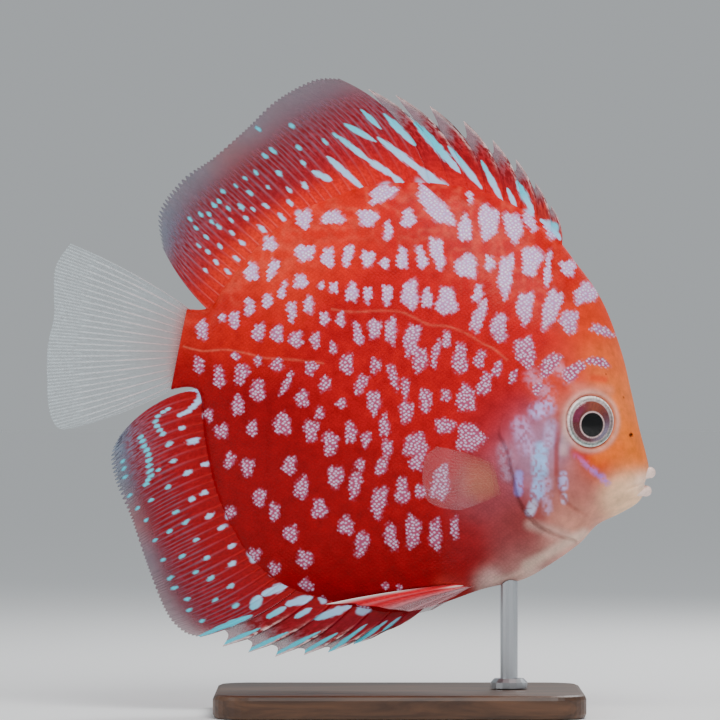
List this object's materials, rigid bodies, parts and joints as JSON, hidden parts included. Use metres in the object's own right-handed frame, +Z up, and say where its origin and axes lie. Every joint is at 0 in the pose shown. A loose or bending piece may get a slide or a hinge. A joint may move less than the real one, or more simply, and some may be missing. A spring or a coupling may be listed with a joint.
{
  "type": "discus fish model",
  "caption": "Life-size still model of a discus fish with rayed dorsal, anal, tail, pectoral and pelvic fins, held over a flat base by one short rod",
  "frame": {"origin": "middle of the model's box on the floor, under the middle of the fish", "axes": "+X towards the mouth, +Y to the fish's left side, +Z up"},
  "size_m": [0.152, 0.064, 0.1587],
  "materials": {
    "head_skin": "wet orange and pink skin of the head, painted on a cast model",
    "flank_skin": "wet scaled skin, red with pale lavender spots, painted on a cast model",
    "red_fin": "thin rayed membrane, red with turquoise marks and a clearer margin",
    "clear_fin": "thin nearly clear rayed membrane",
    "eye": "glossy eye with a dark pupil and a maroon iris",
    "base_wood": "oiled walnut, planed with rounded edges",
    "rod_steel": "satin turned steel rod"
  },
  "bodies": {
    "root": {"head": "head_skin", "torso": "flank_skin", "tail_stalk": "flank_skin", "dorsal_fin_spiny": "red_fin", "dorsal_fin_soft": "red_fin", "anal_fin_spiny": "red_fin", "anal_fin_soft": "red_fin", "caudal_fin": "clear_fin", "pectoral_fin_right": "clear_fin", "pectoral_fin_left": "clear_fin", "pelvic_fin_right": "red_fin", "pelvic_fin_left": "red_fin", "eye_right": "eye", "eye_left": "eye", "stand_base": "base_wood", "stand_rod": "rod_steel"}
  },
  "joints": []
}
